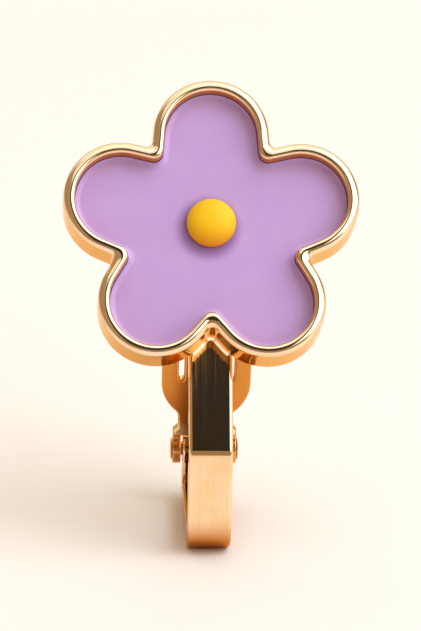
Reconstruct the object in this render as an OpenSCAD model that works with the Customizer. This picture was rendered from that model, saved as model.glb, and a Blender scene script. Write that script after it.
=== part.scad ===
// Clip-on earring: an enamelled five-petal flower in a gilt cup, soldered to a bent strap
// that passes under the earlobe and carries a hinged paddle behind it.
// It stands on the flat underside of the strap. +Z is up and the flower faces -Y.

/* [Flower] */
// Distance from the flower's centre to the centre of a petal's round tip
petal_reach = 4.85; // [4.3:0.05:5.4]
// Radius of a petal's round tip
petal_r = 2.97; // [2.6:0.02:3.2]
// Flare of a petal's straight sides from its own axis, in degrees
petal_flare = 5; // [3:0.5:12]
// Radius of the outer edge in the notches between petals
notch_r = 0.3; // [0.1:0.02:0.36]
// Radius of the rim's inner edge in the notches
notch_inner_r = 0.5; // [0.3:0.05:0.7]
// How far the flower leans back from upright, in degrees
flower_lean = 37; // [28:1:42]

/* [Cup] */
// Thickness of the cup from its back to the top of its rim
cup_t = 2.3; // [2:0.05:2.8]
// Thickness of the cup's back plate
floor_t = 0.7; // [0.5:0.05:0.9]
// Width of the raised rim
rim_w = 0.6; // [0.5:0.02:0.8]
// Rounding of the rim's outer shoulder
rim_outer_r = 0.24; // [0.12:0.02:0.3]
// Rounding of the rim's inner edge
rim_inner_r = 0.1; // [0.04:0.02:0.16]
// Chamfer round the cup's back edge
back_chamfer = 0.15; // [0.05:0.05:0.25]

/* [Enamel] */
// Depth of the enamel's surface below the top of the rim
enamel_recess = 0.85; // [0.5:0.05:1.0]
// Height that the enamel creeps up the rim's wall
creep_h = 0.12; // [0.04:0.02:0.2]
// Width of that creep
creep_w = 0.3; // [0.1:0.05:0.5]
// Radius of the yellow centre
dome_r = 1.27; // [1.0:0.02:1.6]
// Height of the yellow centre above the enamel
dome_h = 0.8; // [0.4:0.05:1.0]
// How far the yellow centre sits above the flower's middle
dome_rise = 0.35; // [0:0.05:0.6]

/* [Strap] */
// Width of the strap
strap_w = 2.25; // [2.0:0.05:2.8]
// Thickness of the strap
strap_t = 1.0; // [0.8:0.05:1.2]
// Chamfer along the strap's edges
strap_chamfer = 0.16; // [0.1:0.02:0.2]
// Height of the upright front above the ground, up to where the strap leans back
crease_h = 5.75; // [5.2:0.1:7]
// Inner radius of the two bends at the bottom
bend_r = 0.6; // [0.4:0.05:0.8]
// Length of the leaning part, from the crease to the flower's centre
lean_run = 11.42; // [10.6:0.02:12.2]
// How far the strap goes on behind the flower, past its centre
strap_past = 1.2; // [0.6:0.1:2]
// Depth that the solder joins the strap into the cup's back
solder_t = 0.1; // [0.04:0.02:0.2]

/* [Hinge] */
// Distance from the strap's front to the hinge pin
hinge_back = 8.0; // [7.6:0.1:9]
// Height of the hinge pin above the ground
hinge_h = 2.7; // [2.5:0.05:3.2]
// Outer radius of the eye at the strap's rear end
eye_r = 0.8; // [0.7:0.02:0.9]
// Radius of the hinge pin
pin_r = 0.35; // [0.25:0.02:0.42]
// Radius of the pin's riveted heads
head_r = 0.56; // [0.5:0.02:0.66]
// Thickness of a riveted head
head_t = 0.1; // [0.06:0.02:0.2]
// Radial clearance of the pin in the strap's eye
eye_play = 0.02; // [0.01:0.01:0.05]
// Radial clearance of the pin in the paddle's lugs
lug_play = 0.03; // [0.02:0.01:0.06]
// Clearance beside and above the eye
side_play = 0.1; // [0.05:0.01:0.15]

/* [Paddle] */
// Width of the paddle
paddle_w = 4.6; // [4.2:0.1:5.2]
// Length of the paddle from the hinge pin to its tip
paddle_len = 9.5; // [8.8:0.1:9.8]
// Thickness of the paddle
paddle_t = 0.6; // [0.4:0.05:0.8]
// Distance from the hinge pin to the centre of the paddle's lower round end
paddle_low = 4.1; // [3.8:0.1:4.8]
// Width of the paddle's neck
neck_w = 2.8; // [2.6:0.1:3.2]
// Thickness of each lug
lug_t = 0.42; // [0.3:0.02:0.6]
// Radius of each lug round the pin
lug_r = 0.75; // [0.68:0.01:0.85]
// Width of the tongue between the slots
tongue_w = 2.3; // [2.2:0.1:2.7]
// Width of each slot
slot_w = 0.28; // [0.24:0.02:0.5]
// Distance from the hinge pin to the lower end of the slots
slot_low = 4.25; // [3.8:0.1:4.6]
// Distance from the paddle's tip to the upper end of the slots
slot_tip = 1.7; // [1.5:0.1:2.4]
// Gap left between the closed paddle's tip and the strap
grip_gap = 0.25; // [0.15:0.05:0.6]

/* [Fit] */
// Gap round each piece of enamel
fit_gap = 0.02; // [0.01:0.01:0.04]

/* [Hidden] */
$fn = 64;
eps = 0.01;

PETALS = 5;
PETAL_STEP = 360 / PETALS;
ARC_STEPS = 20;
NOTCH_STEPS = 5;
ROUND_STEPS = 3;

// The two bottom bends of the strap, measured to its outer face.
bend_outer = bend_r + strap_t;
rear_bend_y = hinge_back + strap_t / 2 - bend_outer;

// The closed paddle's lean: its tip's front edge stands grip_gap off the strap's rear face.
pin_depth = hinge_back * cos(flower_lean) + (crease_h - hinge_h) * sin(flower_lean);
tip_depth = pin_depth - strap_t - grip_gap;
tip_radius = norm([paddle_len, paddle_t / 2]);
paddle_lean = asin(tip_depth / tip_radius) - atan2(paddle_t / 2, paddle_len) - flower_lean;

// The lugs and the pin, measured from the middle.
lug_in = strap_w / 2 + side_play;
lug_out = lug_in + lug_t;
shoulder_low = eye_r + side_play;
shoulder_h = 0.3;
pin_half = lug_out + lug_play;

// The bounding box's middle, front to back: the strap's front and the top petal's back edge.
top_petal = lean_run + petal_reach + petal_r - back_chamfer;
box_back = top_petal * sin(flower_lean) + solder_t * cos(flower_lean);
centre_y = box_back / 2;

// Cross-section of the cup's wall: how far in from the outer edge, and how high above the back.
function round_steps(r) = [for (i = [0:ROUND_STEPS]) [r * (1 - cos(90 * i / ROUND_STEPS)),
    r * sin(90 * i / ROUND_STEPS)]];
cup_wall = concat(
    [[back_chamfer, 0], [0, back_chamfer]],
    [for (p = round_steps(rim_outer_r)) [p[0], cup_t - rim_outer_r + p[1]]],
    [for (i = [ROUND_STEPS:-1:0]) let (p = round_steps(rim_inner_r)[i])
        [rim_w - p[0], cup_t - rim_inner_r + p[1]]],
    [[rim_w, floor_t]]
);

// The same for the enamel, which creeps up the rim's wall a little.
enamel_top = cup_t - enamel_recess;
enamel_in = rim_w + fit_gap;
enamel_wall = [
    [enamel_in, floor_t + fit_gap],
    [enamel_in, enamel_top + creep_h],
    [enamel_in + creep_w / 3, enamel_top + creep_h / 3],
    [enamel_in + creep_w, enamel_top]
];

// The flower's outline, drawn in by inset all round: for each petal its round tip, then the
// notch after it. The straight sides run between them.
function petal_points(inset) = [for (i = [0:ARC_STEPS])
    let (a = petal_flare + (180 - 2 * petal_flare) * i / ARC_STEPS)
    [(petal_r - inset) * cos(a), petal_reach + (petal_r - inset) * sin(a)]];
function notch_round(inset) = notch_r + (notch_inner_r - notch_r) * inset / rim_w;
function notch_reach(inset) =
    (petal_reach * sin(petal_flare) + petal_r - inset + notch_round(inset))
        / sin(PETAL_STEP / 2 + petal_flare);
function notch_points(inset) = [for (i = [0:NOTCH_STEPS])
    let (
        a = -petal_flare - (180 - PETAL_STEP - 2 * petal_flare) * i / NOTCH_STEPS,
        middle = 90 + PETAL_STEP / 2
    )
    [notch_reach(inset) * cos(middle) + notch_round(inset) * cos(a),
     notch_reach(inset) * sin(middle) + notch_round(inset) * sin(a)]];
function turned(p, a) = [p[0] * cos(a) - p[1] * sin(a), p[0] * sin(a) + p[1] * cos(a)];
function flower_outline(inset) = [for (k = [0:PETALS - 1])
    each [for (p = concat(petal_points(inset), notch_points(inset))) turned(p, PETAL_STEP * k)]];

// Skins a wall table: one flower outline for each row, closed flat at both ends round a middle
// point, because the outline turns inward at its notches.
module flower_skin(wall) {
    rings = [for (w = wall) [for (p = flower_outline(w[0])) [p[0], p[1], w[1]]]];
    count = len(rings[0]);
    last = len(rings) - 1;
    low_middle = len(rings) * count;
    high_middle = low_middle + 1;
    middles = [[0, 0, wall[0][1]], [0, 0, wall[last][1]]];
    low_end = [for (i = [0:count - 1]) [low_middle, i, (i + 1) % count]];
    high_end = [for (i = [0:count - 1])
        [high_middle, last * count + (i + 1) % count, last * count + i]];
    sides = [for (r = [0:last - 1], i = [0:count - 1])
        let (j = (i + 1) % count)
        [r * count + i, (r + 1) * count + i, (r + 1) * count + j, r * count + j]];
    polyhedron(concat([for (ring = rings) each ring], middles), concat(low_end, sides, high_end),
        convexity = 8);
}

// Stands the flower's own frame, with its back at z = 0 and facing +Z, where the strap holds it.
module at_flower() {
    translate([0, lean_run * sin(flower_lean), crease_h + lean_run * cos(flower_lean)])
        rotate([90 - flower_lean, 0, 0])
            translate([0, 0, -solder_t])
                children();
}

// Turns a side view into place: across it is y, up it is z, and its thickness runs along x.
module side_view() {
    rotate([90, 0, 90]) children();
}

// The strap's cross-section: its thickness from 0, and its width about the middle.
module strap_section() {
    half = strap_w / 2;
    c = strap_chamfer;
    polygon([[c, -half], [strap_t - c, -half], [strap_t, c - half], [strap_t, half - c],
        [strap_t - c, half], [c, half], [0, half - c], [0, c - half]]);
}

// A straight stretch of strap in the side view, from a corner, along a direction.
module straight(from, direction, length) {
    translate(from)
        rotate(direction)
            rotate([90, 0, 90])
                linear_extrude(length)
                    strap_section();
}

// A bend of the strap in the side view, about a centre.
module bend(centre, inner_r, from_angle, sweep) {
    translate(centre)
        rotate(from_angle)
            rotate_extrude(angle = sweep)
                translate([inner_r, 0])
                    strap_section();
}

module strap() {
    lean_from = [strap_t * cos(flower_lean), crease_h - strap_t * sin(flower_lean)];
    side_view() {
        straight(lean_from, 90 - flower_lean, lean_run + strap_past);
        straight([strap_t, bend_outer], 90, crease_h - bend_outer);
        bend([bend_outer, bend_outer], bend_r, 180, 90);
        straight([bend_outer, 0], 0, rear_bend_y - bend_outer);
        bend([rear_bend_y, bend_outer], bend_r, 270, 90);
        straight([hinge_back + strap_t / 2, bend_outer], 90, hinge_h - bend_outer);
        translate([hinge_back, hinge_h])
            cylinder(r = eye_r, h = strap_w, center = true);
    }
}

module at_pin() {
    translate([0, hinge_back, hinge_h]) children();
}

module flower_frame() {
    color("#E8B878") difference() {
        union() {
            at_flower() flower_skin(cup_wall);
            strap();
        }
        at_pin() rotate([0, 90, 0])
            cylinder(r = pin_r + eye_play, h = strap_w + 2 * eps, center = true);
    }
}

module petal_enamel() {
    color("#C5A0D8") at_flower() flower_skin(enamel_wall);
}

module centre_dome() {
    ball_r = (dome_r * dome_r + dome_h * dome_h) / (2 * dome_h);
    color("#FAC21E") at_flower()
        translate([0, dome_rise, enamel_top + fit_gap])
            intersection() {
                translate([0, 0, dome_h - ball_r]) sphere(r = ball_r);
                cylinder(r = ball_r + eps, h = dome_h + eps);
            }
}

module slot() {
    slot_high = paddle_len - slot_tip;
    translate([0, slot_low + slot_w / 2]) circle(d = slot_w);
    translate([0, slot_high - slot_w / 2]) circle(d = slot_w);
    translate([-slot_w / 2, slot_low + slot_w / 2]) square([slot_w, slot_high - slot_low - slot_w]);
}

// The paddle's flat outline, with the hinge pin at the origin.
module paddle_outline() {
    round_r = paddle_w / 2;
    difference() {
        union() {
            translate([0, paddle_low]) circle(r = round_r);
            translate([0, paddle_len - round_r]) circle(r = round_r);
            translate([-round_r, paddle_low]) square([paddle_w, paddle_len - round_r - paddle_low]);
            translate([-neck_w / 2, shoulder_low]) square([neck_w, paddle_low - shoulder_low]);
            translate([-lug_out, shoulder_low]) square([2 * lug_out, shoulder_h]);
        }
        for (side = [-1, 1])
            translate([side * (tongue_w + slot_w) / 2, 0]) slot();
    }
}

module lug() {
    side_view() linear_extrude(lug_t, center = true) difference() {
        union() {
            circle(r = lug_r);
            translate([-paddle_t / 2, 0]) square([paddle_t, shoulder_low + shoulder_h]);
        }
        circle(r = pin_r + lug_play);
    }
}

module paddle() {
    color("#D99A4E") at_pin() rotate([paddle_lean, 0, 0]) {
        rotate([90, 0, 0]) linear_extrude(paddle_t, center = true) paddle_outline();
        for (side = [-1, 1])
            translate([side * (lug_in + lug_t / 2), 0, 0]) lug();
    }
}

module hinge_pin() {
    color("#D9A45C") at_pin() rotate([0, 90, 0]) {
        cylinder(r = pin_r, h = 2 * pin_half, center = true);
        for (side = [-1, 1])
            translate([0, 0, side * (pin_half + head_t / 2)])
                cylinder(r = head_r, h = head_t, center = true);
    }
}

module placed() {
    translate([0, -centre_y, 0]) children();
}

placed() flower_frame();
placed() petal_enamel();
placed() centre_dome();
placed() paddle();
placed() hinge_pin();
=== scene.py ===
"""Clip-on earring: an enamelled five-petal flower on a bent gilt strap, with a hinged paddle.

Sizes are in millimetres and angles in degrees. Each piece is shaped in millimetres, then set in
its place in metres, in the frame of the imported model: +Z is up and the flower faces -Y.
"""

import logging
import math
from dataclasses import dataclass
from enum import Enum
from typing import Any, Callable, List, Mapping, Optional, Sequence, Tuple, Union

import bmesh
import bpy
from mathutils import Matrix, Quaternion, Vector


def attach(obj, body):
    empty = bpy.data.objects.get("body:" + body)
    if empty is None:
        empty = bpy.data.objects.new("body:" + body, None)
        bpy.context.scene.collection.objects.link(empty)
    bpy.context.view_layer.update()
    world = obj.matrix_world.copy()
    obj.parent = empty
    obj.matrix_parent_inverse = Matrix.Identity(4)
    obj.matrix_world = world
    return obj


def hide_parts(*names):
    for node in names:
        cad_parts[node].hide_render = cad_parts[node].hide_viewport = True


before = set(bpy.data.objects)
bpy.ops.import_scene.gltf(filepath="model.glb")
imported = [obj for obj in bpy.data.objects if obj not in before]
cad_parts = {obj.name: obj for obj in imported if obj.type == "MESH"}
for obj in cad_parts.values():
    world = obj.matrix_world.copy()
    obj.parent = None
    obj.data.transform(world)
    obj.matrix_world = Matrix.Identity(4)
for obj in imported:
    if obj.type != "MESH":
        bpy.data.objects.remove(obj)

log = logging.getLogger("earring")

MM = 0.001
SHARP_ANGLE = math.radians(38)
FLAT_WEIGHT = 60
MERGED_WITHIN = 1e-4
STAMPED_EDGE_STEPS = 3
SMOOTH = {"interpolation_type": "SMOOTHSTEP"}

Colour = Tuple[float, float, float, float]
Point = Tuple[float, float]
Place = Tuple[float, float, float]
Rows = Sequence[Sequence[float]]
Item = bpy.types.Object
Material = bpy.types.Material
Key = Union[int, str]
Feed = Union["Value", float, int, bool, str, Sequence[float], bpy.types.ID]


class Solid(Enum):
    """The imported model's solids, each with its body and the record's slot of its finish."""

    FLOWER_FRAME = ("flower_frame", "frame", "gilt_frame")
    PETAL_ENAMEL = ("petal_enamel", "frame", "lilac_enamel")
    CENTRE_DOME = ("centre_dome", "frame", "yellow_enamel")
    PADDLE = ("paddle", "clip_paddle", "gilt_paddle")
    HINGE_PIN = ("hinge_pin", "frame", "gilt_pin")


def paint(*lights: int) -> Colour:
    """Turns red, green and blue of 0 to 255, as a screen shows them, into a shader's colour."""
    red, green, blue = (((light / 255 + 0.055) / 1.055) ** 2.4 for light in lights)
    return (red, green, blue, 1.0)


def math_node(operation: str, turned: bool = False) -> Callable[..., "Value"]:
    """Makes a method that adds one Math node.

    Args:
        operation: The Math node's operation.
        turned: Whether the other value goes first.

    Returns:
        The method, which takes the other value where the operation has one.
    """

    def work_out(value: "Value", *others: Feed) -> "Value":
        """Adds the Math node and gives its result."""
        feeds = (*others, value) if turned else (value, *others)
        return value.sheet.add("ShaderNodeMath", {"operation": operation}, dict(enumerate(feeds)))

    return work_out


@dataclass(frozen=True)
class Value:
    """One output of a node, whose arithmetic adds Math nodes to the sheet that it is on."""

    sheet: "NodeSheet"
    node: bpy.types.Node
    output: Key = 0

    __add__ = math_node("ADD")
    __radd__ = math_node("ADD", turned=True)
    __sub__ = math_node("SUBTRACT")
    __rsub__ = math_node("SUBTRACT", turned=True)
    __mul__ = math_node("MULTIPLY")
    __rmul__ = math_node("MULTIPLY", turned=True)
    __truediv__ = math_node("DIVIDE")
    __rtruediv__ = math_node("DIVIDE", turned=True)
    __abs__ = math_node("ABSOLUTE")
    sine = math_node("SINE")
    cosine = math_node("COSINE")
    arcsine = math_node("ARCSINE")
    angle_over = math_node("ARCTAN2")
    at_least = math_node("MAXIMUM")
    modulo = math_node("FLOORED_MODULO")

    def __neg__(self) -> "Value":
        """This with its sign turned."""
        return self * -1.0

    @property
    def socket(self) -> bpy.types.NodeSocket:
        """The output's socket."""
        return NodeSheet.find(self.node.outputs, self.output)

    def pick(self, output: Key) -> "Value":
        """Gives another output of the same node."""
        return Value(self.sheet, self.node, output)

    def rise(self, start: float, end: float) -> "Value":
        """Goes smoothly from 0 to 1 as this goes from start to end, and stays there."""
        sockets = {"Value": self, "From Min": start, "From Max": end}
        return self.sheet.add("ShaderNodeMapRange", SMOOTH, sockets)


@dataclass(frozen=True)
class NodeSheet:
    """A node tree, with one method that adds any node to it."""

    tree: bpy.types.NodeTree

    @staticmethod
    def find(sockets: Sequence[bpy.types.NodeSocket], key: Key) -> bpy.types.NodeSocket:
        """Finds a socket.

        Args:
            sockets: A node's inputs or outputs.
            key: The socket's place in the row, its identifier or its name.

        Returns:
            The socket, which is in use where several share the name.
        """
        if isinstance(key, int):
            return sockets[key]
        return next(s for s in sockets if s.enabled and key in (s.identifier, s.name))

    def add(
        self,
        kind: str,
        settings: Optional[Mapping[str, Any]] = None,
        sockets: Optional[Mapping[Key, Feed]] = None,
        output: Key = 0,
    ) -> Value:
        """Adds a node, sets it, and then feeds its sockets.

        Args:
            kind: The node's type.
            settings: The node's own settings.
            sockets: Values or links for its sockets, by place, identifier or name.
            output: The output that the result stands for.

        Returns:
            The node's output.
        """
        node = self.tree.nodes.new(kind)
        for name, setting in (settings or {}).items():
            setattr(node, name, setting)
        for key, feed in (sockets or {}).items():
            socket = self.find(node.inputs, key)
            if isinstance(feed, Value):
                self.tree.links.new(feed.socket, socket)
            else:
                socket.default_value = feed
        return Value(self, node, output)

    def blend(self, share: Feed, first: Feed, second: Feed) -> Value:
        """Mixes two colours, from the first at a share of 0 to the second at 1."""
        sockets = {"Factor_Float": share, "A_Color": first, "B_Color": second}
        return self.add("ShaderNodeMix", {"data_type": "RGBA"}, sockets, "Result_Color")

    def place(self) -> Value:
        """Reads each point's place, in metres, on the piece as it is packed."""
        return self.add("ShaderNodeTexCoord", output="Object")

    def climb(self, span: Point) -> Value:
        """Goes smoothly from 0 to 1 between two heights."""
        height = self.add("ShaderNodeSeparateXYZ", None, {0: self.place()}, "Z")
        return height.rise(span[0] * MM, span[1] * MM)

    def cloud(self, patch: float, detail: float = 2.0, stretch: float = 1.0) -> Value:
        """Adds soft noise that stays with the piece.

        Args:
            patch: The size of its patches, from side to side.
            detail: How many finer layers it has.
            stretch: How much longer the patches are from front to back and up.

        Returns:
            The noise, about 0.5 on average.
        """
        sockets = {0: self.place(), 1: (1.0, 1 / stretch, 1 / stretch)}
        drawn = self.add("ShaderNodeVectorMath", {"operation": "MULTIPLY"}, sockets)
        sockets = {"Vector": drawn, "Scale": 1 / (patch * MM), "Detail": detail}
        return self.add("ShaderNodeTexNoise", None, sockets)

    def depth(self, span: Optional[Point]) -> Value:
        """Reads each point's share of painted shade, which may also grow between two heights."""
        depth = self.add("ShaderNodeAttribute", {"attribute_name": "painted_shade"}, None, "Fac")
        return depth + self.climb(span) if span else depth

    def relief(self, height: Value, full: float) -> Value:
        """Gives the surface a relief, whose height at 1 is the full one."""
        sockets = {"Height": height, "Strength": 1.0, "Distance": full * MM}
        return self.add("ShaderNodeBump", None, sockets)


class RuleSheet(NodeSheet):
    """A Geometry Nodes tree that shapes one kind of piece by a rule with named sizes."""

    def __init__(self, name: str, sizes: Sequence[str]):
        """Starts the tree with its inputs and its output.

        Args:
            name: The tree's name.
            sizes: The names of the rule's sizes.
        """
        super().__init__(bpy.data.node_groups.new(name, "GeometryNodeTree"))
        make = self.tree.interface.new_socket
        make("Geometry", in_out="INPUT", socket_type="NodeSocketGeometry")
        for size in sizes:
            make(size, in_out="INPUT", socket_type="NodeSocketFloat")
        make("Finish", in_out="INPUT", socket_type="NodeSocketMaterial")
        make("Geometry", in_out="OUTPUT", socket_type="NodeSocketGeometry")
        self.entry = self.add("NodeGroupInput")

    def size(self, name: str) -> Value:
        """Gives one of the tree's inputs."""
        return self.entry.pick(name)

    def attribute(self, name: str) -> Value:
        """Reads one of the points' own numbers."""
        kind = "GeometryNodeInputNamedAttribute"
        return self.add(kind, {"data_type": "FLOAT"}, {"Name": name}, "Attribute")

    def close(self, shape: Value) -> None:
        """Ends the tree with real geometry in its finish."""
        real = self.add("GeometryNodeRealizeInstances", None, {"Geometry": shape})
        sockets = {"Geometry": real, "Material": self.size("Finish")}
        dressed = self.add("GeometryNodeSetMaterial", None, sockets)
        self.add("NodeGroupOutput", None, {0: dressed})

    def shape(self, item: Item, sizes: Sequence[float], finish: Material) -> None:
        """Shapes an object by the rule and leaves it a plain mesh.

        Args:
            item: The object, whose mesh the rule starts from.
            sizes: The rule's sizes, in the tree's order.
            finish: The material of the shape.
        """
        modifier = item.modifiers.new(self.tree.name, "NODES")
        modifier.node_group = self.tree
        entries = [entry for entry in self.tree.interface.items_tree if entry.in_out == "INPUT"]
        for entry, value in zip(entries[1:], [*sizes, finish]):
            modifier[entry.identifier] = value
        settle(item)


class FlowerRule(RuleSheet):
    """Sets rows of points on the flower's outline, drawn in by each row's inset."""

    def __init__(self) -> None:
        """Writes the outline's rule: round petal tips, and small rounds in the notches."""
        sizes = ["Petals", "Petal reach", "Tip radius", "Side flare"]
        sizes += ["Notch radius", "Inner notch radius", "Rim width"]
        super().__init__("flower_outline", sizes)
        inset = self.attribute("inset")
        swing = self.attribute("swing")
        in_notch = self.attribute("in_notch")
        reach = self.size("Petal reach")
        flare = self.size("Side flare")
        notch_r = self.size("Notch radius")
        half_step = math.pi / self.size("Petals")
        widening = self.size("Inner notch radius") - notch_r
        notch_round = notch_r + widening * inset / self.size("Rim width")
        tip_round = self.size("Tip radius") - inset
        notch_reach = (reach * flare.sine() + tip_round + notch_round) / (half_step + flare).sine()
        middle = half_step + math.pi / 2
        notch_x = notch_reach * middle.cosine() + notch_round * swing.cosine()
        notch_y = notch_reach * middle.sine() + notch_round * swing.sine()
        tip_x = tip_round * swing.cosine()
        tip_y = reach + tip_round * swing.sine()
        across = tip_x + (notch_x - tip_x) * in_notch
        along = tip_y + (notch_y - tip_y) * in_notch
        petal = self.attribute("petal")
        spread = self.attribute("spread")
        x = (across * petal.cosine() - along * petal.sine()) * spread
        y = (across * petal.sine() + along * petal.cosine()) * spread
        sockets = {"X": x, "Y": y, "Z": self.attribute("height")}
        place = self.add("ShaderNodeCombineXYZ", None, sockets)
        sockets = {"Geometry": self.entry, "Position": place}
        self.close(self.add("GeometryNodeSetPosition", None, sockets))


class BarRule(RuleSheet):
    """Runs a bar of rounded section along a path, rounding the path's corners."""

    def __init__(self) -> None:
        """Writes the rule: the path's bends, the section and the bar along it."""
        sizes = ["Width", "Thickness", "Edge radius", "Edge steps", "Bend steps"]
        super().__init__("bar_along_path", sizes)
        line = self.add("GeometryNodeMeshToCurve", None, {"Mesh": self.entry})
        path = self._rounded(line, self.attribute("bend"), self.size("Bend steps"))
        sockets = {"Curve": path, "Radius": self.attribute("girth")}
        path = self.add("GeometryNodeSetCurveRadius", None, sockets)
        sockets = {"Width": self.size("Width"), "Height": self.size("Thickness")}
        block = self.add("GeometryNodeCurvePrimitiveQuadrilateral", None, sockets)
        section = self._rounded(block, self.size("Edge radius"), self.size("Edge steps"))
        sockets = {"Curve": path, "Profile Curve": section, "Fill Caps": True}
        self.close(self.add("GeometryNodeCurveToMesh", None, sockets))

    def _rounded(self, line: Value, radius: Value, steps: Value) -> Value:
        """Rounds a line's corners."""
        sockets = {"Curve": line, "Radius": radius, "Count": steps}
        return self.add("GeometryNodeFilletCurve", {"mode": "POLY"}, sockets)


def put_in(name: str, data: bpy.types.ID) -> Item:
    """Puts a new object in the scene."""
    item = bpy.data.objects.new(name, data)
    bpy.context.scene.collection.objects.link(item)
    return item


def plain_mesh(item: Item) -> bpy.types.Mesh:
    """Works an object out into a new plain mesh."""
    graph = bpy.context.evaluated_depsgraph_get()
    return bpy.data.meshes.new_from_object(item.evaluated_get(graph))


def settle(item: Item) -> None:
    """Turns an object with modifiers into a plain mesh without them."""
    mesh = plain_mesh(item)
    item.modifiers.clear()
    item.data = mesh


def stacked_faces(sizes: Sequence[int], wrap: bool = False) -> List[Tuple[int, ...]]:
    """Joins rows of points that follow each other.

    Args:
        sizes: How many points each row has, all alike apart from poles of one point.
        wrap: Whether the last row is joined to the first one.

    Returns:
        The faces, facing outwards where the rows turn left and rise on the outside.
    """
    rows = [(sum(sizes[:row]), size) for row, size in enumerate(sizes)]
    count = max(sizes)
    faces = []
    for (low, low_size), (high, high_size) in zip(rows, rows[1:] + rows[:wrap]):
        for here in range(count):
            ahead = (here + 1) % count
            below = (low + here, low + ahead) if low_size > 1 else (low,)
            above = (high + ahead, high + here) if high_size > 1 else (high,)
            faces.append(below + above)
    return faces


def quarter(steps: int) -> List[Point]:
    """Gives the sines and cosines of a quarter turn in even steps."""
    angles = [math.pi / 2 * step / steps for step in range(steps + 1)]
    return [(math.sin(angle), math.cos(angle)) for angle in angles]


def arc(centre: Point, radius: float, start: float, end: float, steps: int) -> List[Point]:
    """Gives an arc's points, from its start angle to its end angle in even steps."""
    angles = [math.radians(start + (end - start) * step / steps) for step in range(steps + 1)]
    return [(centre[0] + radius * math.cos(a), centre[1] + radius * math.sin(a)) for a in angles]


class Workpiece:
    """One piece while it is made: a mesh object, shaped in millimetres."""

    def __init__(
        self,
        name: str,
        points: Rows,
        faces: Sequence[Sequence[int]] = (),
        edges: Sequence[Sequence[int]] = (),
        numbers: Optional[Mapping[str, Sequence[float]]] = None,
    ):
        """Makes the object.

        Args:
            name: The piece's name.
            points: Its points.
            faces: Its faces.
            edges: Its edges, where it starts as a path.
            numbers: Numbers that go with the points, by name.
        """
        mesh = bpy.data.meshes.new(name)
        mesh.from_pydata(points, edges, faces)
        self.item = put_in(name, mesh)
        for label, row in (numbers or {}).items():
            self.number(label, row)

    @classmethod
    def lathed(cls, name: str, profile: Sequence[Point], steps: int, wrap: bool) -> "Workpiece":
        """Makes a piece that is round about its own Z.

        Args:
            name: The piece's name.
            profile: Pairs of radius and height, up the outside first.
            steps: How many steps it has round.
            wrap: Whether the profile closes on itself, as a tube's does.

        Returns:
            The piece.
        """
        angles = [2 * math.pi * step / steps for step in range(steps)]
        counts = [steps if radius > 0 else 1 for radius, _ in profile]
        points = [
            (radius * math.cos(angle), radius * math.sin(angle), height)
            for (radius, height), count in zip(profile, counts)
            for angle in angles[:count]
        ]
        return cls(name, points, stacked_faces(counts, wrap))

    @classmethod
    def stamped(
        cls, name: str, outlines: Sequence[Sequence[Point]], thickness: float, edge: float
    ) -> "Workpiece":
        """Makes a flat piece from outlines, with rounded edges.

        Args:
            name: The piece's name.
            outlines: The outside turning left, then the holes turning right.
            thickness: Its thickness, about Z = 0.
            edge: The rounding of its edges.

        Returns:
            The piece.
        """
        curve = bpy.data.curves.new(name, "CURVE")
        curve.dimensions = "2D"
        curve.fill_mode = "BOTH"
        curve.extrude = thickness / 2 - edge
        curve.bevel_depth = edge
        curve.bevel_resolution = STAMPED_EDGE_STEPS
        curve.offset = -edge
        for outline in outlines:
            spline = curve.splines.new("POLY")
            spline.points.add(len(outline) - 1)
            for knot, (x, y) in zip(spline.points, outline):
                knot.co = (x, y, 0, 1)
            spline.use_cyclic_u = True
        maker = put_in(name + "_outline", curve)
        piece = cls(name, [])
        piece.item.data = plain_mesh(maker)
        bpy.data.objects.remove(maker)
        return piece

    def number(self, label: str, row: Sequence[float]) -> None:
        """Gives each point a number under a label."""
        self.item.data.attributes.new(label, "FLOAT", "POINT").data.foreach_set("value", row)

    def turn(self, place: Matrix) -> None:
        """Moves the piece's mesh."""
        self.item.data.transform(place)

    def paint_shade(self, front: float, back: float) -> None:
        """Gives the front half, towards -Y, and the back half their own share of painted shade."""
        points = self.item.data.vertices
        self.number("painted_shade", [front if point.co.y < 0 else back for point in points])

    def close_up(self, *others: "Workpiece") -> None:
        """Takes in other pieces, merges doubled points and faces everything outwards.

        Args:
            others: The other pieces, which are gone afterwards.
        """
        work = bmesh.new()
        for piece in (self, *others):
            work.from_mesh(piece.item.data)
        bmesh.ops.remove_doubles(work, verts=work.verts, dist=MERGED_WITHIN)
        bmesh.ops.recalc_face_normals(work, faces=work.faces)
        work.to_mesh(self.item.data)
        work.free()
        for piece in others:
            bpy.data.objects.remove(piece.item)

    def polish(self) -> None:
        """Shades the piece smooth, with crisp corners and with flats that mirror flat."""
        mesh = self.item.data
        mesh.shade_smooth()
        mesh.set_sharp_from_angle(angle=SHARP_ANGLE)
        modifier = self.item.modifiers.new("flats", "WEIGHTED_NORMAL")
        modifier.keep_sharp = True
        modifier.weight = FLAT_WEIGHT
        settle(self.item)

    def hand_over(self, place: Matrix, finish: Material, solid: Solid) -> None:
        """Polishes the piece, sets it in its place, in metres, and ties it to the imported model.

        Args:
            place: Where it goes, in millimetres.
            finish: Its material.
            solid: The solid that it stands for.
        """
        node, body, slot = solid.value
        self.polish()
        self.turn(Matrix.Scale(MM, 4) @ place)
        mesh = self.item.data
        mesh.name = self.item.name
        mesh.materials.clear()
        mesh.materials.append(finish)
        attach(self.item, body)
        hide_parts(node)
        mesh.calc_loop_triangles()
        log.info("%s: %d triangles, on %s", self.item.name, len(mesh.loop_triangles), body)


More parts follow.
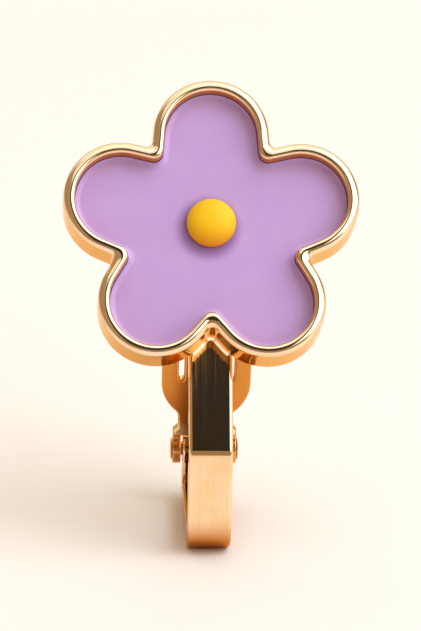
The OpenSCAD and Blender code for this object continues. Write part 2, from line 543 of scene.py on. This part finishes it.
@dataclass(frozen=True)
class Finish:
    """A finish of the surface, which writes itself as a material."""

    name: str

    def feeds(self, sheet: NodeSheet) -> Mapping[str, Feed]:
        """Works out what feeds the surface's sockets, which each finish does in its own way."""
        raise NotImplementedError

    def make(self) -> Material:
        """Writes the material."""
        material = bpy.data.materials.new(self.name)
        material.use_nodes = True
        material.node_tree.nodes.clear()
        sheet = NodeSheet(material.node_tree)
        surface = sheet.add("ShaderNodeBsdfPrincipled", None, self.feeds(sheet))
        sheet.add("ShaderNodeOutputMaterial", None, {"Surface": surface})
        return material


@dataclass(frozen=True)
class Brush:
    """Fine streaks along a piece, left by a polishing brush."""

    width: float = 0.13
    stretch: float = 45.0
    shows: Point = (0.35, 0.7)
    groove: float = 0.0016
    haze: float = 0.03
    more_haze: float = 0.08
    grows: Point = (6.0, 10.5)
    tint: float = 0.6


@dataclass(frozen=True)
class Gilding(Finish):
    """Rose-gold plating on a polished casting: a mirror with soft unevenness."""

    colour: Colour = paint(255, 234, 206)
    worn: Colour = paint(253, 224, 186)
    # The colour of painted shade and painted reflection, mixed in by each point's share of painted
    # shade and between two heights.
    shade_colour: Colour = paint(226, 160, 88)
    grazing: Colour = paint(255, 240, 202)
    wears: Point = (0.4, 0.75)
    shade_span: Optional[Point] = None
    roughness: float = 0.09
    unevenness: float = 0.07
    smoothest: float = 0.02
    patch: float = 1.6
    ripple: float = 0.0012
    ripple_patch: float = 0.5
    brush: Optional[Brush] = None

    def feeds(self, sheet: NodeSheet) -> Mapping[str, Feed]:
        """Works out the plating, with its wear, its painted shade and painted reflection, its
        ripples and a brush's streaks.

        Args:
            sheet: The material's sheet.

        Returns:
            What feeds the surface's sockets.
        """
        cloud = sheet.cloud(self.patch)
        worn = cloud.rise(*self.wears)
        relief = sheet.cloud(self.ripple_patch, detail=1.0) * self.ripple
        roughness = self.roughness + (cloud - 0.5) * self.unevenness
        brush = self.brush
        if brush:
            streaks = sheet.cloud(brush.width, stretch=brush.stretch)
            share = streaks.rise(*brush.shows)
            haze = brush.haze + sheet.climb(brush.grows) * brush.more_haze
            roughness = roughness + share * haze
            relief = relief + streaks * brush.groove
            worn = worn + share * brush.tint
        plated = sheet.blend(worn, self.colour, self.worn)
        return {
            "Base Color": sheet.blend(sheet.depth(self.shade_span), plated, self.shade_colour),
            "Metallic": 1.0,
            "Specular Tint": self.grazing,
            "Roughness": roughness.at_least(self.smoothest),
            "Normal": sheet.relief(relief, full=1.0),
        }


@dataclass(frozen=True)
class PouredEnamel(Finish):
    """Opaque enamel, poured and fired: satin and cloudy, with painted shade where the piece or two
    heights say so, and a painted shadow round a drop.
    """

    colour: Colour
    milky: Colour
    # The colour of painted shade, mixed in by each point's share of painted shade and between two
    # heights.
    shade_colour: Colour
    clouds: Point = (0.3, 0.7)
    shade_span: Optional[Point] = None
    # Painted shadow round the drop: its middle, its inner and outer edges, and its colour.
    drop_shadow_middle: Optional[Place] = None
    drop_shadow_edges: Point = (1.2, 1.9)
    drop_shadow_colour: Colour = paint(154, 114, 184)
    roughness: float = 0.32
    unevenness: float = 0.08
    shine: float = 0.5
    gloss: float = 0.35
    gloss_roughness: float = 0.18
    patch: float = 1.8
    ripple: float = 0.003
    ripple_patch: float = 0.9

    def feeds(self, sheet: NodeSheet) -> Mapping[str, Feed]:
        """Works out the enamel, with painted shade where the piece or two heights say so, and a
        painted shadow round the drop.

        Args:
            sheet: The material's sheet.

        Returns:
            What feeds the surface's sockets.
        """
        cloud = sheet.cloud(self.patch, detail=3.0)
        waves = sheet.cloud(self.ripple_patch, detail=1.0)
        body = sheet.blend(cloud.rise(*self.clouds), self.colour, self.milky)
        body = sheet.blend(sheet.depth(self.shade_span), body, self.shade_colour)
        # A painted shadow round the drop, darkest at its inner edge.
        if self.drop_shadow_middle:
            inner, outer = self.drop_shadow_edges
            sockets = {0: sheet.place(), 1: tuple(part * MM for part in self.drop_shadow_middle)}
            way = sheet.add("ShaderNodeVectorMath", {"operation": "DISTANCE"}, sockets, "Value")
            body = sheet.blend(way.rise(outer * MM, inner * MM), body, self.drop_shadow_colour)
        return {
            "Base Color": body,
            "Roughness": self.roughness + (cloud - 0.5) * self.unevenness,
            "Normal": sheet.relief(waves, full=self.ripple),
            "Specular IOR Level": self.shine,
            "Coat Weight": self.gloss,
            "Coat Roughness": self.gloss_roughness,
        }


@dataclass(frozen=True)
class Card(Finish):
    """A pale cream card with a faint sheen."""

    name: str = "cream_card"
    colour: Colour = paint(250, 242, 244)
    roughness: float = 0.42
    grain: float = 0.35
    tooth: float = 0.004

    def feeds(self, sheet: NodeSheet) -> Mapping[str, Feed]:
        """Works out the card and its fine grain."""
        relief = sheet.relief(sheet.cloud(self.grain, detail=3.0), full=self.tooth)
        return {"Base Color": self.colour, "Roughness": self.roughness, "Normal": relief}


@dataclass(frozen=True)
class Stance:
    """How the pieces stand: the strap's run, the flower's lean and the hinge's place."""

    lean: float = 37.0
    crease_h: float = 5.75
    lean_run: float = 11.42
    strap_past: float = 1.2
    solder_t: float = 0.1
    hinge_back: float = 8.0
    hinge_h: float = 2.7
    paddle_lean: float = 8.3976
    box_middle: float = 5.7843

    def at_flower(self) -> Matrix:
        """Gives the place of the flower's own frame: its back at Z = 0, facing +Z."""
        angle = math.radians(self.lean)
        depth = self.lean_run * math.sin(angle) - self.box_middle
        middle = (0, depth, self.crease_h + self.lean_run * math.cos(angle))
        tip_back = Matrix.Rotation(math.radians(90 - self.lean), 4, "X")
        sink = Matrix.Translation((0, 0, -self.solder_t))
        return Matrix.Translation(middle) @ tip_back @ sink

    def at_side(self) -> Matrix:
        """Gives the place of the side view, whose Y is the depth from the strap's front."""
        return Matrix.Translation((0, -self.box_middle, 0))

    def at_pin(self) -> Matrix:
        """Gives the hinge pin's place."""
        return Matrix.Translation((0, self.hinge_back - self.box_middle, self.hinge_h))

    def along_pin(self) -> Matrix:
        """Gives the place of a round piece on the pin, whose own Z runs along the pin."""
        return self.at_pin() @ Matrix.Rotation(math.pi / 2, 4, "Y")

    def at_paddle(self) -> Matrix:
        """Gives the closed paddle's place, leaning forward about the pin."""
        return self.at_pin() @ Matrix.Rotation(math.radians(self.paddle_lean), 4, "X")


@dataclass
class Flower:
    """The five-petal flower: a gilt cup with a bead round it, lilac enamel and a yellow drop."""

    stance: Stance
    rule: FlowerRule
    petals: int = 5
    reach: float = 4.85
    tip_r: float = 2.97
    flare: float = 5.0
    notch_r: float = 0.3
    notch_inner_r: float = 0.5
    cup_t: float = 2.3
    floor_t: float = 0.7
    rim_w: float = 0.6
    rim_outer: Point = (0.38, 0.34)
    rim_inner: Point = (0.22, 0.2)
    back_r: float = 0.25
    # Painted shade and painted reflection on the cup: the share on its back, and how fast it fades
    # across the outer shoulder and the inner lip.
    back_shade: float = 0.3
    wall_fade: float = 1.5
    lip_fade: float = 3.0
    enamel_gap: float = 0.02
    enamel_top: float = 1.45
    creep_h: float = 0.12
    creep_w: float = 0.34
    creep_curve: float = 2.4
    # How fast the painted shade along the wall fades across the creep.
    creep_fade: float = 2.0
    creep_steps: int = 8
    drop_r: float = 1.27
    drop_h: float = 0.8
    drop_foot: float = 0.6
    drop_curve: float = 0.9
    drop_tuck: float = 0.12
    drop_rise: float = 0.35
    # How far the painted shadow round the drop sits off its middle: to the left and down.
    drop_shadow_shift: Point = (0.13, 0.26)
    tip_steps: int = 40
    notch_steps: int = 10

    def drop_shadow_middle(self) -> Place:
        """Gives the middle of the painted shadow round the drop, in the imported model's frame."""
        aside, below = self.drop_shadow_shift
        spot = Vector((-aside, self.drop_rise - below, self.enamel_top))
        return tuple(self.stance.at_flower() @ spot)

    def notch_line(self, half: float) -> List[Tuple[Point, Point]]:
        """Lists the lowest notch's outer edge, in the flower's own frame.

        Args:
            half: How far it goes to each side.

        Returns:
            Pairs of a point on the edge and the way out from the metal there, left to right.
        """
        half_step = math.pi / self.petals
        flare = math.radians(self.flare)
        rounds = self.tip_r + self.notch_r
        notch_y = -(self.reach * math.sin(flare) + rounds) / math.sin(half_step + flare)
        petal_x = self.reach * math.sin(half_step)
        petal_y = -self.reach * math.cos(half_step)
        turn = math.degrees(half_step + flare)
        last = 360 - math.degrees(math.acos((half - petal_x) / self.tip_r))
        right = [
            ((x, y), (-x / self.notch_r, (notch_y - y) / self.notch_r))
            for x, y in arc((0, notch_y), self.notch_r, 90, turn, steps=6)
        ]
        right += [
            ((x, y), ((x - petal_x) / self.tip_r, (y - petal_y) / self.tip_r))
            for x, y in arc((petal_x, petal_y), self.tip_r, 180 + turn, last, steps=6)
        ]
        left = [((-x, y), (-out_x, out_y)) for (x, y), (out_x, out_y) in right[:0:-1]]
        return left + right

    def _outline(self) -> List[Place]:
        """Lists each point's petal as a turn, its swing on an arc, and whether it is in a notch."""
        step = 2 * math.pi / self.petals
        flare = math.radians(self.flare)
        tip = (flare, math.pi - 2 * flare, self.tip_steps, 0.0)
        notch = (-flare, -(math.pi - step - 2 * flare), self.notch_steps, 1.0)
        return [
            (petal * step, start + sweep * k / steps, in_notch)
            for petal in range(self.petals)
            for start, sweep, steps, in_notch in (tip, notch)
            for k in range(steps + 1)
        ]

    def _skin(self, name: str, rows: Rows, finish: Material, solid: Solid) -> None:
        """Makes a piece of rows of the outline that lie on each other, shaped by the rule.

        Args:
            name: The piece's name.
            rows: For each row its inset, height, spread and share of painted shade.
            finish: The piece's material.
            solid: The solid that it stands for.
        """
        outline = self._outline()
        labels = ("petal", "swing", "in_notch", "inset", "height", "spread", "painted_shade")
        table = []
        counts = []
        for row in rows:
            ring = outline if row[2] > 0 else outline[:1]
            counts.append(len(ring))
            table.extend([*point, *row] for point in ring)
        numbers = dict(zip(labels, zip(*table)))
        blank = [(0.0, 0.0, 0.0)] * len(table)
        piece = Workpiece(name, blank, stacked_faces(counts), numbers=numbers)
        sizes = [float(self.petals), self.reach, self.tip_r, math.radians(self.flare)]
        sizes += [self.notch_r, self.notch_inner_r, self.rim_w]
        self.rule.shape(piece.item, sizes, finish)
        for label in labels[:-1]:
            piece.item.data.attributes.remove(piece.item.data.attributes[label])
        piece.hand_over(self.stance.at_flower(), finish, solid)

    def make_cup(self, finish: Material) -> None:
        """Makes the cast cup: its back, its wall with the beaded rim, and the tray inside, with
        painted shade and painted reflection on its back and walls.

        Args:
            finish: The gilding.
        """
        back = self.back_r
        faint = self.back_shade
        # Painted shade: faint on the back, growing to full round its edge.
        rows = [(back, 0.0, spread, faint) for spread in (0.0, 0.3, 0.6, 0.85)]
        rows += [
            (back * (1 - s), back * (1 - c), 1.0, faint + (1 - faint) * s)
            for s, c in quarter(steps=6)
        ]
        wide, high = self.rim_outer
        # Painted shade and painted reflection: full on the outer wall, fading out across the
        # shoulder to the crest.
        rows += [
            (wide * (1 - c), self.cup_t - high * (1 - s), 1.0, (1 - s) ** self.wall_fade)
            for s, c in quarter(steps=8)
        ]
        # Painted shade: none on the crest, growing to full down the inner lip.
        wide, high = self.rim_inner
        rows += [
            (self.rim_w - wide * (1 - s), self.cup_t - high * (1 - c), 1.0, s**self.lip_fade)
            for s, c in quarter(steps=8)[1:]
        ]
        # Full painted shade down the inner wall and on the hidden tray.
        rows += [(self.rim_w, self.floor_t, spread, 1.0) for spread in (1.0, 0.8, 0.4, 0.0)]
        self._skin("flower_cup", rows, finish, Solid.FLOWER_FRAME)

    def make_enamel(self, finish: Material) -> None:
        """Makes the lilac fill, which creeps a little up the cup's wall.

        Args:
            finish: The lilac enamel.
        """
        inset = self.rim_w + self.enamel_gap
        low = self.floor_t + self.enamel_gap
        rows = [(inset, low, spread, 0.0) for spread in (0.0, 0.4, 0.8, 1.0)]
        # Painted shade along the cup's wall: darkest at the wall, fading out across the creep.
        for step in range(self.creep_steps + 1):
            way = step / self.creep_steps
            height = self.enamel_top + self.creep_h * (1 - way) ** self.creep_curve
            rows.append((inset + self.creep_w * way, height, 1.0, (1 - way) ** self.creep_fade))
        flat = (inset + self.creep_w, self.enamel_top)
        rows += [(*flat, spread, 0.0) for spread in (0.95, 0.8, 0.6, 0.4, 0.2, 0.0)]
        self._skin("lilac_fill", rows, finish, Solid.PETAL_ENAMEL)

    def make_drop(self, finish: Material) -> None:
        """Makes the yellow drop in the middle.

        Args:
            finish: The yellow enamel.
        """
        tuck = self.drop_tuck
        dome_h = self.drop_h - tuck
        profile = [(0.0, 0.0), (self.drop_r * self.drop_foot, 0.0)]
        profile += [(self.drop_r - tuck * (1 - s), tuck * (1 - c)) for s, c in quarter(steps=6)]
        for s, c in quarter(steps=24)[1:-1]:
            profile.append((self.drop_r * c**self.drop_curve, tuck + dome_h * s))
        profile.append((0.0, self.drop_h))
        piece = Workpiece.lathed("yellow_drop", profile, steps=96, wrap=False)
        seat = (0, self.drop_rise, self.enamel_top + self.enamel_gap)
        place = self.stance.at_flower() @ Matrix.Translation(seat)
        piece.hand_over(place, finish, Solid.CENTRE_DOME)


@dataclass
class Strap:
    """The bent strap: up the back of the flower, round under the lobe and up to the hinge."""

    stance: Stance
    rule: BarRule
    gilt: Material
    brushed: Material
    width: float = 2.25
    thickness: float = 1.0
    edge_r: float = 0.18
    crease_r: float = 0.55
    bend_r: float = 0.6
    end_ease: float = 0.1
    edge_steps: float = 6.0
    bend_steps: float = 14.0
    eye_r: float = 0.8
    eye_edge: float = 0.12
    eye_lip: float = 0.05
    eye_sink: float = 0.3
    bore_r: float = 0.37
    bead_r: float = 0.16
    bead_round: float = 0.98
    bead_low: float = -5.2
    bead_ease: float = 0.3
    bead_bend: float = 0.3
    bead_end: float = 0.5
    seam_w: float = 0.14
    seam_lap: float = 0.01

    def _along(self, name: str, stops: Rows, section: Point, edge: float) -> Workpiece:
        """Runs a bar along a path.

        Args:
            name: The piece's name.
            stops: For each corner its X, Y and Z, the bend's radius there and the girth.
            section: The bar's width and thickness.
            edge: The rounding of its edges.

        Returns:
            The piece.
        """
        points = [stop[:3] for stop in stops]
        edges = [(k, k + 1) for k in range(len(stops) - 1)]
        numbers = {"bend": [stop[3] for stop in stops], "girth": [stop[4] for stop in stops]}
        piece = Workpiece(name, points, edges=edges, numbers=numbers)
        sizes = [*section, edge, self.edge_steps, self.bend_steps]
        self.rule.shape(piece.item, sizes, self.gilt)
        piece.close_up()
        return piece

    def make_strap(self) -> None:
        """Makes the strap itself."""
        stance = self.stance
        lean = math.radians(stance.lean)
        half = self.thickness / 2
        rise = Vector((0, math.sin(lean), math.cos(lean)))
        behind = Vector((0, math.cos(lean), -math.sin(lean)))
        foot = Vector((0, 0, stance.crease_h)) + behind * half
        crease = foot + rise * ((half - foot.y) / rise.y)
        top = foot + rise * (stance.lean_run + stance.strap_past)
        eased = 1 - self.end_ease
        middle_bend = self.bend_r + half
        stops = [
            (*top, 0.0, eased),
            (*(top - rise * self.end_ease), 0.0, 1.0),
            (*crease, self.crease_r, 1.0),
            (0, half, half, middle_bend, 1.0),
            (0, stance.hinge_back, half, middle_bend, 1.0),
            (0, stance.hinge_back, stance.hinge_h - self.eye_r + self.eye_sink, 0.0, 1.0),
        ]
        piece = self._along("strap", stops, (self.width, self.thickness), self.edge_r)
        piece.hand_over(stance.at_side(), self.brushed, Solid.FLOWER_FRAME)

    def make_eye(self) -> None:
        """Makes the rolled eye at the strap's rear end."""
        half = self.width / 2
        edge = self.eye_edge
        lip = self.eye_lip
        low = [(self.eye_r - edge * (1 - c), -half + edge * (1 - s)) for s, c in quarter(steps=5)]
        bore = [(self.bore_r + lip * (1 - s), half - lip * (1 - c)) for s, c in quarter(steps=3)]
        profile = low[::-1] + [(r, -h) for r, h in low]
        profile += bore + [(r, -h) for r, h in bore[::-1]]
        piece = Workpiece.lathed("hinge_eye", profile, steps=72, wrap=True)
        piece.close_up()
        piece.hand_over(self.stance.along_pin(), self.gilt, Solid.FLOWER_FRAME)

    def make_seam(self, flower: Flower) -> None:
        """Makes the solder's seam, where the lowest notch stands on the strap.

        Args:
            flower: The flower, which gives the notch's edge.
        """
        high = self.stance.solder_t
        lap = self.seam_lap
        wide = self.seam_w
        section = ((-lap, high + wide), (wide, high + lap), (wide, high - lap), (-lap, high - lap))
        line = flower.notch_line(self.width / 2 - self.edge_r)
        points = [
            (x + out_x * way, y + out_y * way, height)
            for (x, y), (out_x, out_y) in line
            for way, height in section
        ]
        count = len(section)
        faces = stacked_faces([count] * len(line))
        row = range(len(points))
        faces += [tuple(row[:count])[::-1], tuple(row[-count:])]
        piece = Workpiece("solder_seam", points, faces)
        piece.close_up()
        piece.hand_over(self.stance.at_flower(), self.gilt, Solid.FLOWER_FRAME)

    def make_solder(self) -> None:
        """Makes the solder's bead, along both sides of the strap on the cup's back."""
        side = self.width / 2
        end = self.stance.strap_past
        start = self.bead_low
        left = [
            (-side, start, 0.0, 0.0, self.bead_end),
            (-side, start + self.bead_ease, 0.0, 0.0, 1.0),
            (-side, end, 0.0, self.bead_bend, 1.0),
        ]
        stops = left + [(side, *stop[1:]) for stop in left[::-1]]
        section = (2 * self.bead_r, 2 * self.bead_r)
        piece = self._along("solder_bead", stops, section, self.bead_r * self.bead_round)
        piece.hand_over(self.stance.at_flower(), self.gilt, Solid.FLOWER_FRAME)


@dataclass
class Paddle:
    """The stamped paddle behind the lobe, with its two lugs round the hinge pin."""

    stance: Stance
    finish: Material
    width: float = 4.6
    length: float = 9.5
    thickness: float = 0.6
    low_centre: float = 4.1
    neck_w: float = 2.8
    neck_fillet: float = 0.45
    shoulder_low: float = 0.9
    shoulder_h: float = 0.3
    lug_in: float = 1.225
    lug_t: float = 0.42
    lug_r: float = 0.75
    lug_fillet: float = 0.25
    lug_bore_r: float = 0.38
    # Painted shade: the lugs' share, and the back face's share, which keeps that face clear of it.
    lug_shade: float = 0.8
    pale: float = -1.0
    tongue_w: float = 2.3
    slot_w: float = 0.28
    slot_low: float = 4.25
    slot_tip: float = 1.7
    plate_edge: float = 0.12
    lug_edge: float = 0.06
    lap: float = 0.02

    def _right_side(self) -> List[Point]:
        """Lists the plate's right side, from its foot to the widest point."""
        round_r = self.width / 2
        neck = self.neck_w / 2
        foot = self.lug_in + self.lug_t - self.lap
        fillet = self.neck_fillet
        out = neck + fillet
        drop = math.sqrt((round_r + fillet) ** 2 - out**2)
        lean = math.degrees(math.atan2(drop, out))
        corner = (out, self.low_centre - drop)
        top = self.shoulder_low + self.shoulder_h
        points = [(foot, self.shoulder_low), (foot, top), (neck, top + foot - neck)]
        points += arc(corner, fillet, 180, 180 - lean, steps=8)
        points += arc((0, self.low_centre), round_r, -lean, 0, steps=14)[1:]
        return points

    def _slot(self, side: int) -> List[Point]:
        """Lists one slot's outline, turning right.

        Args:
            side: 1 for the right slot and -1 for the left one.

        Returns:
            The outline's points.
        """
        x = side * (self.tongue_w + self.slot_w) / 2
        end_r = self.slot_w / 2
        low = self.slot_low + end_r
        high = self.length - self.slot_tip - end_r
        points = arc((x, high), end_r, 0, 180, steps=8) + arc((x, low), end_r, 180, 360, steps=8)
        return points[::-1]

    def _lug(self, side: int) -> Workpiece:
        """Makes one lug in the paddle's own frame.

        Args:
            side: 1 for the right lug and -1 for the left one.

        Returns:
            The lug.
        """
        stem = self.thickness / 2 - self.lap
        fillet = self.lug_fillet
        out = stem + fillet
        rise = math.sqrt((self.lug_r + fillet) ** 2 - out**2)
        lean = math.degrees(math.atan2(rise, out))
        high = self.shoulder_low + self.shoulder_h - self.lap
        outline = arc((0, 0), self.lug_r, 180 - lean, 360 + lean, steps=40)
        outline += arc((out, rise), fillet, 180 + lean, 180, steps=6)
        outline += [(stem, high), (-stem, high)]
        outline += arc((-out, rise), fillet, 0, -lean, steps=6)
        bore = arc((0, 0), self.lug_bore_r, 0, -360, steps=32)[:-1]
        piece = Workpiece.stamped("paddle_lug", [outline, bore], self.lug_t, self.lug_edge)
        to_side = Matrix(((0, 0, 1, 0), (1, 0, 0, 0), (0, 1, 0, 0), (0, 0, 0, 1)))
        shift = Matrix.Translation((side * (self.lug_in + self.lug_t / 2), 0, 0))
        piece.turn(shift @ to_side)
        # Painted shade on the lugs.
        piece.paint_shade(self.lug_shade, self.lug_shade)
        return piece

    def make(self) -> None:
        """Makes the paddle in one piece."""
        round_r = self.width / 2
        right = self._right_side()
        tip = arc((0, self.length - round_r), round_r, 0, 180, steps=48)
        outline = right + tip + [(-x, y) for x, y in reversed(right)]
        outlines = [outline, self._slot(1), self._slot(-1)]
        piece = Workpiece.stamped("paddle_plate", outlines, self.thickness, self.plate_edge)
        piece.turn(Matrix.Rotation(math.pi / 2, 4, "X"))
        # Painted shade on the front face only; the back face stays at the plain plating.
        piece.paint_shade(0.0, self.pale)
        piece.close_up(self._lug(-1), self._lug(1))
        piece.hand_over(self.stance.at_paddle(), self.finish, Solid.PADDLE)


@dataclass
class Pin:
    """The riveted hinge pin."""

    stance: Stance
    finish: Material
    shaft_r: float = 0.35
    shaft_half: float = 1.675
    head_r: float = 0.56
    head_t: float = 0.1
    head_side: float = 0.35
    head_edge: Point = (0.02, 0.01)

    def make(self) -> None:
        """Makes the pin with its two low domed heads."""
        side = self.head_side
        end = self.shaft_half
        head = [
            (self.head_r * s, end + self.head_t * (side + (1 - side) * c))
            for s, c in quarter(steps=8)
        ]
        draw_in, rise = self.head_edge
        head += [(self.head_r, end + rise), (self.head_r - draw_in, end), (self.shaft_r, end)]
        low = [(r, -h) for r, h in head]
        piece = Workpiece.lathed("hinge_pin_rivet", low + head[::-1], steps=48, wrap=False)
        piece.hand_over(self.stance.along_pin(), self.finish, Solid.HINGE_PIN)


@dataclass(frozen=True)
class Panel:
    """A part of the room round the earring, seen from it: a bright panel or a dark doorway."""

    azimuth: float
    half_width: float
    low: float
    high: float
    glow: float
    colour: Colour
    soft: float = 1.5

    def lit(self) -> Colour:
        """Gives the panel's colour at its own brightness."""
        return (*(self.glow * light for light in self.colour[:3]), 1.0)

    def cover(self, turn: Value, height: Value) -> Value:
        """Works out where the panel is.

        Args:
            turn: The direction's azimuth.
            height: The direction's elevation.

        Returns:
            1 on the panel and 0 off it.
        """
        above = height.rise(self.low - self.soft, self.low + self.soft)
        below = height.rise(self.high + self.soft, self.high - self.soft)
        edge = self.half_width
        off = abs((turn - self.azimuth + 540).modulo(360) - 180)
        across = off.rise(edge + self.soft, edge - self.soft)
        return above * below * across


WARM = paint(255, 244, 198)
CREAM = paint(255, 248, 226)
WHITE = paint(255, 252, 241)
DOORWAY = paint(255, 240, 226)
TAN = paint(255, 214, 166)
ROOM = Panel(0, 181, -90, 95, 0.48, WARM)
PANELS = (
    Panel(180, 65, 26, 57, 1.3, CREAM, soft=4.0),
    Panel(0, 181, 56.5, 95, 0.95, CREAM),
    Panel(0, 181, 72, 95, 1.5, WHITE, soft=4.0),
    Panel(-70, 52, 10, 56.5, 0.4, TAN, soft=4.0),
    Panel(58, 40, 10, 56.5, 2.1, WHITE, soft=4.0),
    Panel(0, 40, -1, 25, 0.35, TAN, soft=4.0),
    Panel(0, 17, 25, 56.5, 0.03, DOORWAY),
)


@dataclass
class Studio:
    """The pale card under the earring, the soft light round it, and the camera."""

    card_side: float = 4000.0
    card_drop: float = 0.01
    key_place: Place = (230.0, -20.0, 380.0)
    key_side: float = 330.0
    key_power: float = 0.75
    key_colour: Tuple[float, float, float] = (0.74, 0.86, 0.98)
    azimuth: float = -2.8
    elevation: float = 21.5
    roll: float = 1.4
    distance: float = 450.0
    lens: float = 500.0
    clip: Point = (0.01, 20.0)
    aim: Place = (0.07, 0.0, 11.0)

    def lay_card(self) -> None:
        """Lays the card just under the earring."""
        half = self.card_side / 2 * MM
        low = -self.card_drop * MM
        corners = [(-half, -half, low), (half, -half, low), (half, half, low), (-half, half, low)]
        card = Workpiece("card", corners, [(0, 1, 2, 3)])
        card.item.data.materials.append(Card().make())
        log.info("card: laid")

    def light(self) -> None:
        """Lights the room with its panels, and adds a soft key light on the right."""
        world = bpy.data.worlds.new("room")
        bpy.context.scene.world = world
        world.use_nodes = True
        world.node_tree.nodes.clear()
        sheet = NodeSheet(world.node_tree)
        way = sheet.add("ShaderNodeTexCoord", output="Generated")
        axes = sheet.add("ShaderNodeSeparateXYZ", None, {0: way})
        height = axes.pick("Z").arcsine() * (180 / math.pi)
        turn = axes.pick("X").angle_over(-axes.pick("Y")) * (180 / math.pi)
        colour: Feed = ROOM.lit()
        for panel in PANELS:
            colour = sheet.blend(panel.cover(turn, height), colour, panel.lit())
        glow = sheet.add("ShaderNodeBackground", None, {"Color": colour})
        sheet.add("ShaderNodeOutputWorld", None, {"Surface": glow})
        lamp = bpy.data.lights.new("key", "AREA")
        lamp.shape = "DISK"
        lamp.size = self.key_side * MM
        lamp.energy = self.key_power
        lamp.color = self.key_colour
        key = put_in("key", lamp)
        key.location = Vector(self.key_place) * MM
        key.rotation_mode = "QUATERNION"
        key.rotation_quaternion = (-key.location).to_track_quat("-Z", "Y")
        log.info("lights: set")

    def set_camera(self) -> None:
        """Sets the camera at the photo's angle."""
        turn = math.radians(self.azimuth)
        rise = math.radians(self.elevation)
        flat = math.cos(rise)
        back = Vector((math.sin(turn) * flat, -math.cos(turn) * flat, math.sin(rise)))
        lens = bpy.data.cameras.new("camera")
        lens.lens = self.lens
        lens.clip_start, lens.clip_end = self.clip
        camera = put_in("camera", lens)
        camera.location = (Vector(self.aim) + back * self.distance) * MM
        camera.rotation_mode = "QUATERNION"
        roll = Quaternion((0, 0, 1), math.radians(self.roll))
        camera.rotation_quaternion = (-back).to_track_quat("-Z", "Y") @ roll
        bpy.context.scene.camera = camera
        bpy.context.scene.view_settings.view_transform = "Standard"
        log.info("camera: set")


def main() -> None:
    logging.basicConfig(level=logging.INFO, format="%(message)s")
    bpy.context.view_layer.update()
    # Its deeper colour is painted shade and painted reflection on the cup's back and walls.
    gilt = Gilding("rose_gilding").make()
    # The strap's deeper orange towards the foot is painted shade and painted reflection of the
    # contact shadow.
    gilt_strap = Gilding(
        "strap_gilding",
        colour=paint(255, 224, 186),
        worn=paint(250, 211, 160),
        shade_colour=paint(204, 124, 48),
        shade_span=(2.2, 0.5),
        roughness=0.06,
        unevenness=0.04,
        brush=Brush(),
    ).make()
    # The paddle's deeper colour higher up, on its wings, is painted shade; the lugs take some too.
    gilt_paddle = Gilding(
        "paddle_gilding",
        colour=paint(255, 228, 186),
        worn=paint(252, 218, 170),
        shade_colour=paint(218, 144, 66),
        shade_span=(3.8, 4.6),
        roughness=0.2,
    ).make()
    # The pin's plating is painted a darker amber, as painted shade at the hinge.
    shaded_amber = paint(216, 152, 80)
    gilt_pin = Gilding("pin_gilding", colour=shaded_amber, worn=shaded_amber, roughness=0.14).make()
    stance = Stance()
    flower = Flower(stance, FlowerRule())
    # The lilac's deeper colour along the cup's wall is painted shade, and the ring round the drop
    # is a painted shadow.
    lilac = PouredEnamel(
        "lilac_enamel",
        colour=paint(200, 164, 234),
        milky=paint(204, 169, 237),
        shade_colour=paint(188, 149, 230),
        drop_shadow_middle=flower.drop_shadow_middle(),
    ).make()
    # The yellow's deeper orange low on the drop is painted shade.
    yellow = PouredEnamel(
        "yellow_enamel",
        colour=paint(255, 201, 25),
        milky=paint(255, 207, 35),
        shade_colour=paint(242, 156, 18),
        shade_span=(16.6, 14.9),
        roughness=0.5,
        shine=0.25,
        gloss=0.0,
    ).make()
    flower.make_cup(gilt)
    flower.make_enamel(lilac)
    flower.make_drop(yellow)
    strap = Strap(stance, BarRule(), gilt, gilt_strap)
    strap.make_strap()
    strap.make_eye()
    strap.make_seam(flower)
    strap.make_solder()
    Paddle(stance, gilt_paddle).make()
    Pin(stance, gilt_pin).make()
    studio = Studio()
    studio.lay_card()
    studio.light()
    studio.set_camera()


if __name__ == "__main__":
    main()
